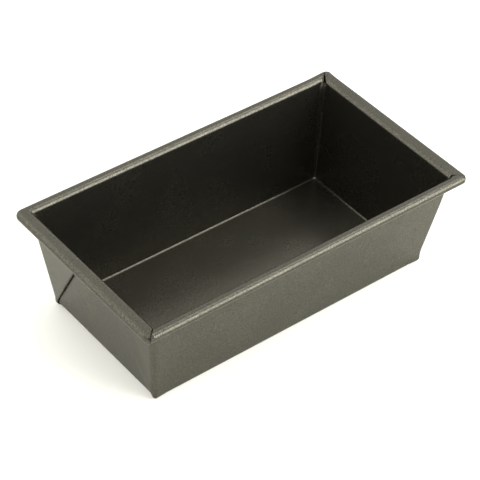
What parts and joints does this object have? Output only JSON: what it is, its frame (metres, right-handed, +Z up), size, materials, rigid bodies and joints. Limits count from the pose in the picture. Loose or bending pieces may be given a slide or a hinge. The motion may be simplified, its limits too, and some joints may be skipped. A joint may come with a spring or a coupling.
{
  "type": "loaf pan",
  "caption": "Rectangular loaf pan folded from one coated steel blank, with sloping walls, envelope-folded corners and a wired rolled rim.",
  "frame": {"origin": "middle of the underside of the floor", "axes": "+X along the pan, +Y across it, +Z up out of its open top"},
  "size_m": [0.21, 0.1162, 0.062],
  "materials": {
    "coated_steel": "dark grey-bronze non-stick coating, fine metallic fleck, satin",
    "wire_steel": "dark annealed steel wire, lightly oiled"
  },
  "bodies": {
    "root": {"pan_body": "coated_steel", "rim_wire": "wire_steel"}
  },
  "joints": []
}
